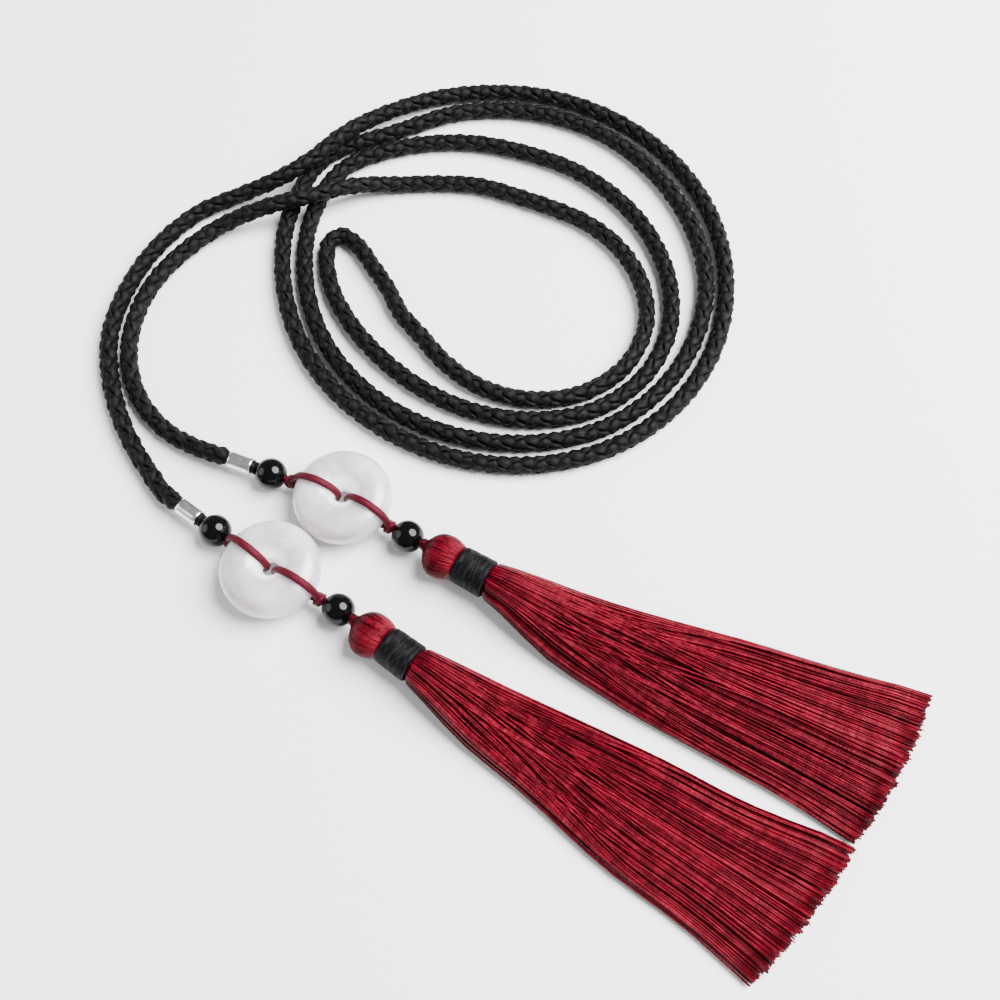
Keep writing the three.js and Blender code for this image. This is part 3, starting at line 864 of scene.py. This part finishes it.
class ROPEBELT_OT_fittings(Operator):
    """Turn the ferrules, collars and drilled beads"""

    bl_idname = "rope_belt.fittings"
    bl_label = "Ferrules, collars and beads"

    def execute(self, context):
        chosen = settings(context, "fittings")
        metal = silver_material(tuple(chosen.metal))
        black = collar_material(tuple(chosen.black))
        gloss = bead_material(tuple(chosen.black))
        for number, at in LAYOUTS.items():
            self.ferrule(number, at, chosen.ferrule / MM / 2, metal)
            self.collar(number, at, black)
            radius = chosen.bead / MM / 2
            self.bead(f"bead_rope_{number}", at["rope_bead"], at["back"], radius, gloss)
            inwards = at["in_head"] - at["tassel_knot"]
            self.bead(f"bead_tassel_{number}", at["tassel_bead"], inwards, radius, gloss)
        return {"FINISHED"}

    def ferrule(self, number, at, radius, material):
        # It reaches over the end of the rope and half over the collar
        cover, over_rope, wall = 0.6, 0.5, 0.2
        length = FERRULE_LENGTH + GAP + over_rope + cover
        profile = []
        for t in np.linspace(0, 1, 15):
            waist = 0.03 * math.sin(math.pi * t) ** 2
            lip = 0.1 * max(0, 1 - min(t, 1 - t) * 16) ** 2
            profile.append((-t * length, radius - waist - lip))
        inner = [(-t * length, radius - wall - 0.1) for t in (1.0, 0.5, 0.0)]
        bundle = Bundle()
        start, way = at["ferrule_far"] - at["back"] * cover, -at["back"]
        bundle.turned(start, way, profile + inner, 40, caps=False, closed_along=True)
        bundle.piece(f"ferrule_tube_{number}", material, "silver", f"ferrule_{number}")

    def collar(self, number, at, material):
        # It plugs the ferrule and reaches the bead
        plug, core = 0.5, 0.9
        start, way = at["collar_near"] + at["back"] * (GAP + plug), -at["back"]
        length = COLLAR_LENGTH + 2 * GAP + plug
        profile = []
        for t in np.linspace(0, 1, 13):
            wound = abs(math.sin(2.5 * math.pi * t + 0.5)) ** 0.6
            profile.append((t * length, COLLAR_DIAMETER / 2 - 0.22 + 0.26 * wound))
        bundle = Bundle()
        bundle.turned(start, way, [(0.0, core)] + profile + [(length, core)], 28)
        bundle.piece(f"collar_wound_{number}", material, "black_trim", f"collar_{number}")

    def bead(self, name, centre, way, radius, material):
        bore = 1.1
        low = math.asin((bore + 0.25) / radius)
        profile = []
        for t in np.linspace(low, math.pi - low, 36):
            profile.append((-radius * math.cos(t), radius * math.sin(t)))
        end = radius * math.cos(low)
        lip = [(end + 0.02, bore + 0.12), (end - 0.12, bore)]
        profile = [(-z, r) for z, r in reversed(lip)] + profile + lip
        bundle = Bundle()
        bundle.turned(centre, way, profile, 64, caps=False, closed_along=True)
        bundle.piece(f"{name}_gloss", material, "black_bead", name)


class ROPEBELT_OT_rings(Operator):
    """Turn the milky stone rings"""

    bl_idname = "rope_belt.rings"
    bl_label = "Rings"

    def execute(self, context):
        chosen = settings(context, "rings")
        material = stone_material(tuple(chosen.colour))
        outer, tall = chosen.diameter / MM / 2, chosen.height / MM / 2
        half = (outer - RING_HOLE / 2) / 2
        middle = outer - half
        sides, squareness = 72, 0.94
        for number, at in LAYOUTS.items():
            # An ellipse, made softly flat on both faces
            a = -2 * np.pi * np.arange(sides) / sides
            ca, sa = rounded(a, squareness)
            across, up = middle + half * ca, tall * sa
            bundle = Bundle()
            centre = at["ring"] + np.array([0.0, 0.0, RING_Z])
            axis = np.array([0.0, 0.0, 1.0])
            # The tone marks the skin that faces the hole, which is painted nearly white and made to glow
            inner = smooth(-0.35, -0.95, np.cos(a))
            outline = list(zip(up, across))
            bundle.turned(centre, axis, outline, 2 * sides, tone=inner, caps=False, closed_along=True)
            bundle.piece(f"stone_ring_{number}", material, "milky_stone", f"ring_{number}")
        return {"FINISHED"}


class ROPEBELT_OT_cords(Operator):
    """Loop, knot and thread the red cords"""

    bl_idname = "rope_belt.cords"
    bl_label = "Red cords"

    def execute(self, context):
        chosen = settings(context, "cords")
        material = cord_material(tuple(chosen.colour))
        width = chosen.width / MM / 2
        for number, at in LAYOUTS.items():
            for which, way, knot, stem_end in (
                ("rope", at["back"], at["rope_knot"], at["ferrule_far"] + at["back"] * 0.3),
                ("tassel", at["out"], at["tassel_knot"], at["in_head"]),
            ):
                length = ENDS[number][f"{which}_knot"]
                bundle = Bundle()
                self.loop(bundle, at["ring"], way, knot, width)
                self.knot(bundle, knot, way, length)
                along = unit(at["in_head"] - at["tassel_knot"]) if which == "tassel" else at["back"]
                self.stem(bundle, knot, at[f"{which}_bead"], along, stem_end)
                bundle.piece(f"red_cord_{which}_{number}", material, "red_cord", f"cord_{which}_{number}")
        return {"FINISHED"}

    def loop(self, bundle, ring, way, knot, width):
        side = np.array([-way[1], way[0], 0.0])
        thick = LOOP_THICKNESS / 2
        skin = 0.06
        wide, tall = RING_TUBE + thick + skin, RING_HEIGHT / 2 + thick + skin
        knot_far = float(np.dot(knot - ring, way))
        course = [(knot_far + 0.2, AXIS_Z + 0.35)]
        for degrees in np.arange(24, 331, 12.0):
            # Under the ring the cord is pressed flat against it
            press = 0.24 * (1 + math.cos(math.radians(degrees - 270))) / 2
            t = math.radians(degrees)
            course.append((RING_MIDDLE + wide * math.cos(t), RING_Z + (tall - press) * math.sin(t)))
        course.append((knot_far - 0.3, AXIS_Z - 0.5))
        path = spline([ring + way * far + np.array([0, 0, z]) for far, z in course], 0.45)
        # The lower leg stays clear of the floor
        path[:, 2] = np.maximum(path[:, 2], thick * 0.82)
        half = np.full(len(path), thick * 0.8)
        bundle.tube(path, width, half, 14, side=side, power=0.9)

    def knot(self, bundle, knot, way, length):
        """Two close wraps round the legs, and a third across them."""
        side = np.array([-way[1], way[0], 0.0])
        up = np.array([0.0, 0.0, 1.0])
        radius, wrap, turns = 1.12, 0.64, 2.1
        cross_radius, cross_wrap = 1.28, 0.58
        a = np.linspace(0, turns * 2 * np.pi, 64)
        far = np.linspace(-length * 0.26, length * 0.24, 64)
        coil = circle(knot[None] + way * far[:, None], side, up, radius, a)
        bundle.tube(coil, wrap, wrap, 12, side=way)
        b = np.linspace(0, 2 * np.pi, 40, endpoint=False)
        lean = 0.34 * length * np.sin(b + 0.6)
        cross = circle(knot[None] + way * lean[:, None], side, up, cross_radius, b)
        bundle.tube(cross, cross_wrap, cross_wrap, 12, side=way, closed_along=True)
        core = [knot - way * length * 0.5, knot, knot + way * length * 0.5]
        bundle.tube(spline(core, 0.4), 1.0, 1.0, 12, side=side)

    def stem(self, bundle, knot, bead, along, end):
        entry, way_out = bead - along * BEAD_DIAMETER / 2, bead + along * BEAD_DIAMETER / 2
        path = spline([knot, entry, way_out, end], 0.6)
        bundle.tube(path, STEM_HALF, STEM_HALF, 12)


class ROPEBELT_OT_tassels(Operator):
    """Dress the silk heads, bands and fringes"""

    bl_idname = "rope_belt.tassels"
    bl_label = "Tassels"

    def execute(self, context):
        chosen = settings(context, "tassels")
        silk = tuple(chosen.silk)
        head_silk = silk_material("red_silk_head", shade(silk, 0.78), 0.2)
        thread_silk = silk_material("red_silk", silk, 0.4)
        satin = band_material(tuple(chosen.band))
        for number, at in LAYOUTS.items():
            rnd = random.Random(40 + number)
            self.head(number, at, rnd, head_silk)
            self.band(number, at, satin)
            self.fringe(number, at, rnd, chosen, thread_silk)
        return {"FINISHED"}

    def head(self, number, at, rnd, material):
        radius = HEAD_DIAMETER / 2
        outline = np.array(HEAD_SHAPE) @ np.array([[HEAD_LENGTH, 0, 0], [0, radius, 0]])
        fine = spline(outline, 0.35)
        bundle = Bundle()
        start, way = at["head"], at["tassel_way"]
        side = unit(np.cross([0.0, 0.0, 1.0], way))
        up = np.cross(way, side)
        lean = -side * HEAD_BULGE * np.sin(np.pi * fine[:, 0] / HEAD_LENGTH)[:, None]
        core = start + way * fine[:, :1] + lean
        thin = np.maximum(0.3, fine[:, 1] - 0.42)
        # The core is kept darkest: painted shade where it shows between the strands
        bundle.tube(core, thin, thin, 48, side=side, tone=0.05)
        strands, folds = 170, 11
        # A few deeper creases part the strands into hanks
        creases = [rnd.uniform(0, 2 * math.pi) for _ in range(folds)]
        for k in range(strands):
            angle = 2 * math.pi * (k + rnd.uniform(-0.3, 0.3)) / strands
            near = min(abs(math.remainder(angle - c, 2 * math.pi)) for c in creases)
            sunk = 0.42 * max(0.0, 1 - near / 0.085)
            drift, phase = rnd.uniform(-0.05, 0.05), rnd.uniform(0, 6.28)
            d, r = fine[:, 0], fine[:, 1]
            t = d / HEAD_LENGTH
            turn = angle + drift * t + 0.03 * np.sin(t * 4 + phase) + 0.12 * (1 - t) ** 3
            # A crease begins beyond the neck, and runs out towards the band
            fade = smooth(0.04, 0.2, t) * (1 - smooth(0.55, 0.95, t))
            r = r - 0.2 - sunk * fade + rnd.uniform(-0.03, 0.03)
            line = circle(start + lean + way * d[:, None], side, up, r, turn)
            thick = 0.13 + 0.1 * np.sin(np.pi * np.clip(t, 0.05, 0.95))
            # The hanks catch the light unevenly round the head
            sheen_patch = 0.13 * math.sin(3 * angle + number) + 0.08 * math.sin(7 * angle)
            # Painted shade in the creases and towards the neck, painted light towards the band
            tone = 0.5 + sheen_patch + rnd.uniform(-0.09, 0.09) - 1.3 * sunk * fade[::2]
            tone = tone + 0.36 * smooth(0.3, 0.85, t[::2]) - 0.32 * (1 - smooth(0.0, 0.35, t[::2]))
            bundle.tube(line[::2], thick[::2], thick[::2], 5, tone=tone)
        # The neck is bound with a few turns of the same silk, kept darker as painted shade
        for k in range(3):
            b = np.linspace(0, 2 * np.pi, 28, endpoint=False)
            centre = start + way * (0.1 + 0.5 * k)
            ring = circle(centre[None], side, up, 1.2, b)
            bundle.tube(ring, 0.32, 0.32, 8, side=way, tone=0.3, closed_along=True)
        bundle.piece(f"silk_head_{number}", material, "red_silk")

    def band(self, number, at, material):
        radius = BAND_DIAMETER / 2
        winds = 22
        profile = []
        for t in np.linspace(0, 1, winds * 4 + 1):
            edge = 0.3 * max(0.0, 1 - min(t, 1 - t) * 12) ** 2
            groove = 0.045 * (1 - abs(math.sin(math.pi * winds * t)) ** 0.6)
            taper = 0.12 * (2 * t - 1)
            profile.append((0.15 + t * (BAND_LENGTH - 0.1), radius - 0.08 - edge - groove + taper))

        def ripple(distance, a):
            if distance > BAND_LENGTH:
                return 0.0
            return 0.02 * (np.sin(a * 2 + 5 * math.sin(distance * 1.9)) + np.sin(a * 5 - distance * 2.3))

        inner = [(BAND_LENGTH + 0.05, radius - 0.95), (0.15, radius - 0.95)]
        bundle = Bundle()
        bundle.turned(
            at["band"], at["tassel_way"], profile + inner, 72, caps=False, closed_along=True, ripple=ripple
        )
        bundle.piece(f"satin_band_{number}", material, "black_satin", f"band_{number}")

    def fringe(self, number, at, rnd, chosen, material):
        table = FRINGES[number]
        way, origin = at["fringe_way"], at["band_end"]
        left = np.array([-way[1], way[0], 0.0])
        radius = chosen.thread / MM / 2
        rows = np.concatenate([[-2.0, 0.0, 1.2, 3.0], np.linspace(6, 100, 14)]) / 100
        # Where a thread lies across a round bundle, for its place across the flat end
        across = np.linspace(-1, 1, 401)
        share = 0.5 + (across * np.sqrt(1 - across**2) + np.arcsin(across)) / np.pi
        middle_length, slant, bow = CUTS[number]
        hanks = []
        for k in range(HANKS):
            place = 2 * (k + rnd.uniform(0.1, 0.9)) / HANKS - 1
            hanks.append(
                {
                    "place": place,
                    "end": place + rnd.gauss(0, 0.035) + (rnd.gauss(0, 0.13) if rnd.random() < 0.16 else 0),
                    "level": rnd.uniform(0.0, 1.0),
                    "tone": rnd.uniform(-0.18, 0.2),
                    "cut": rnd.uniform(-0.5, 0.5),
                    "wave": rnd.uniform(14, 30),
                    "phase": rnd.uniform(0, 6.3),
                }
            )
        bundle = Bundle()
        for k in range(chosen.threads):
            p = (k + rnd.random()) / chosen.threads
            flat = 2 * p - 1
            tight = float(np.interp(p, share, across))
            hank = min(hanks, key=lambda h: abs(h["place"] - flat))
            kind = rnd.random()
            if kind < EVEN_BED:
                level = rnd.uniform(0.0, 0.85)
                flat_end = flat + rnd.gauss(0, 0.012)
            elif kind < CROSSING:
                level = 0.5 + 0.5 * (0.35 * rnd.random() + 0.65 * hank["level"])
                flat_end = hank["end"] + (flat - hank["place"]) * rnd.uniform(0.7, 1.0)
            else:
                # A strand that crosses the others, mostly towards the right
                level = rnd.uniform(0.9, 1.03)
                flat_end = flat + rnd.choice((-1, -1, 1)) * rnd.uniform(0.15, 0.8)
                flat_end = min(0.97, max(-0.97, flat_end))
            if abs(flat) > 0.96 and rnd.random() < 0.4:
                flat_end += math.copysign(rnd.uniform(0.01, 0.05), flat)
            flat_end = max(-1.04, min(1.03, flat_end))
            length = middle_length + slant * flat_end - bow * flat_end**2 + hank["cut"] + rnd.gauss(0, 0.22)
            s = rows * length
            wide_left, wide_right = column(table, 1, s), column(table, 2, s)
            height = column(table, 3, s)
            spread = smooth(0, 70, s)
            u = tight + (flat_end - tight) * spread
            u = u + 0.016 * spread * np.sin(s / hank["wave"] + hank["phase"])
            u = u + 0.004 * spread * np.sin(s / 7 + k)
            half = np.where(u > 0, wide_left, wide_right)
            inside = 1 - 0.3 * (1 - smooth(-1, 1.4, s))
            room = np.sqrt(np.maximum(0.04, 1 - u * u))
            disc = (2 * level - 1) * room
            bundle_z = HEAD_Z + disc * (height / 2 - radius) * inside
            crown = np.sqrt(np.maximum(0.12, 1 - 0.6 * u * u))
            floor_z = radius + level * (height - 2 * radius) * crown
            z = bundle_z + (floor_z - bundle_z) * smooth(2, 24, s)
            z = z + 0.12 * np.sin(s / 13 + k) * smooth(8, 30, s)
            z = np.maximum(z, radius)
            line = origin + way * s[:, None] + left * (u * half * inside)[:, None]
            line[:, 2] = z
            # Painted shade deepens low threads, the side away from the light and the part near the band;
            # painted light lifts the crossing threads; hanks and threads also vary at random
            tone = 0.08 + 0.36 * level + hank["tone"] + rnd.uniform(-0.2, 0.2) + 0.12 * (kind > CROSSING)
            tone = tone + 0.12 * u - 0.08 * (1 - smooth(4, 30, s))
            thick = radius * (rnd.uniform(1.0, 1.4) if kind > CROSSING else rnd.uniform(0.75, 1.1))
            bundle.tube(line, thick, thick, 4, tone=tone)
        bundle.piece(f"silk_fringe_{number}", material, "red_silk", f"tassel_{number}")


class ROPEBELT_PT_panel(Panel):
    """Lists the belt's makers"""

    bl_idname = "ROPEBELT_PT_panel"
    bl_label = "Rope belt"
    bl_space_type = "VIEW_3D"
    bl_region_type = "UI"
    bl_category = "Rope belt"

    def draw(self, context):
        for operator in OPERATORS:
            self.layout.operator(operator.bl_idname)
        for name, group in SETTINGS.items():
            box = self.layout.box()
            box.label(text=group.__name__)
            for prop in group.__annotations__:
                box.prop(getattr(context.scene, name), prop)


OPERATORS = (
    ROPEBELT_OT_stage,
    ROPEBELT_OT_rope,
    ROPEBELT_OT_fittings,
    ROPEBELT_OT_rings,
    ROPEBELT_OT_cords,
    ROPEBELT_OT_tassels,
)


def register():
    for group in (*SETTINGS.values(), *OPERATORS, ROPEBELT_PT_panel):
        bpy.utils.register_class(group)
    for name, group in SETTINGS.items():
        setattr(bpy.types.Scene, name, PointerProperty(type=group))


def unregister():
    for name in SETTINGS:
        delattr(bpy.types.Scene, name)
    for group in reversed((*SETTINGS.values(), *OPERATORS, ROPEBELT_PT_panel)):
        bpy.utils.unregister_class(group)


def main():
    register()
    for operator in OPERATORS:
        group, name = operator.bl_idname.split(".")
        getattr(getattr(bpy.ops, group), name)()


if __name__ == "__main__":
    main()
